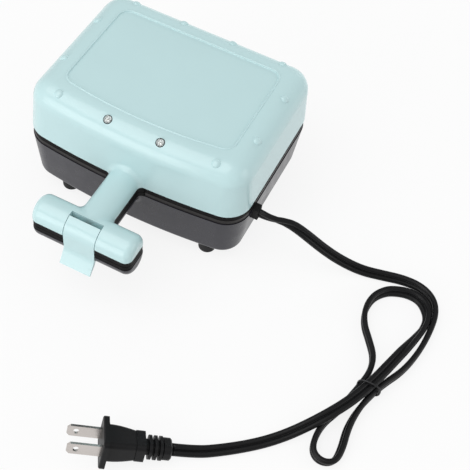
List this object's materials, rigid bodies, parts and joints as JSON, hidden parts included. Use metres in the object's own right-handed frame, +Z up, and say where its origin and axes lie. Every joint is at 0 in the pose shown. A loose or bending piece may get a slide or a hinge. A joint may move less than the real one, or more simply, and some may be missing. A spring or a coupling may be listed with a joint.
{
  "type": "sandwich maker",
  "caption": "Small countertop sandwich maker with a hinged lid, T handle, snap clip, indicator lamps, pocketed non-stick plates, feet and a folded, tied mains cord with plug.",
  "frame": {"origin": "middle of the appliance's footprint, handle and hinge included, on the surface that the feet stand on", "axes": "+X to the right along the long side, +Y back towards the hinge, +Z up; the handle points along -Y"},
  "size_m": [0.2595, 0.2578, 0.0808],
  "materials": {
    "aqua_plastic": "glossy moulded",
    "charcoal_plastic": "satin moulded",
    "black_plastic": "satin moulded",
    "brown_black_plastic": "satin moulded",
    "steel": "plated",
    "lamp_clear": "clear moulded",
    "board": "bare laminate",
    "nonstick": "non-stick coated cast",
    "heater_sheath": "oxidised",
    "bare_aluminium": "mill finish",
    "ceramic": "unglazed",
    "brass": "bare",
    "black_rubber": "matte",
    "cord_jacket": "satin vinyl",
    "plug_vinyl": "satin vinyl",
    "blade_metal": "nickel plated"
  },
  "bodies": {
    "base": {"base_shell": "charcoal_plastic", "base_frame": "brown_black_plastic", "lower_handle_strip": "black_plastic", "lower_plate": "nonstick", "lower_plate_screws": "steel", "lower_heater": "heater_sheath", "lower_heater_clamp": "steel", "lower_heat_shield": "bare_aluminium", "lower_clamp_screw": "steel", "thermal_fuse": "ceramic", "terminal_block": "ceramic", "terminal_screws": "brass", "cord_bushing": "black_rubber", "cord_clamp": "black_plastic", "clamp_bar_screws": "steel", "case_screws": "steel", "lower_handle_screws": "steel", "left_hinge_pin": "steel", "right_hinge_pin": "steel", "power_cord": "cord_jacket", "cord_tie": "black_plastic", "plug_body": "plug_vinyl", "plug_blades": "blade_metal", "front_left_foot": "black_rubber", "back_left_foot": "black_rubber", "front_right_foot": "black_rubber", "back_right_foot": "black_rubber"},
    "lid": {"lid_cover": "aqua_plastic", "lid_frame": "black_plastic", "upper_handle_strip": "black_plastic", "latch_pin": "steel", "latch_spring": "steel", "power_lamp": "lamp_clear", "ready_lamp": "lamp_clear", "lamp_board": "board", "lamp_board_screws": "steel", "upper_plate": "nonstick", "upper_plate_screws": "steel", "upper_heater": "heater_sheath", "upper_heater_clamp": "steel", "upper_heat_shield": "bare_aluminium", "upper_clamp_screw": "steel", "thermostat": "bare_aluminium", "lid_screws": "steel", "upper_handle_screws": "steel"},
    "clip": {"latch_clip": "aqua_plastic"}
  },
  "joints": [
    {"name": "lid_hinge", "type": "hinge", "parent": "base", "child": "lid", "pos_m": [-0.0017, 0.08135, 0.0432], "axis": [-1, 0, 0], "range_deg": [0, 100]},
    {"name": "clip_pivot", "type": "hinge", "parent": "lid", "child": "clip", "pos_m": [-0.0017, -0.07345, 0.0502], "axis": [-1, 0, 0], "range_deg": [0, 15]}
  ]
}
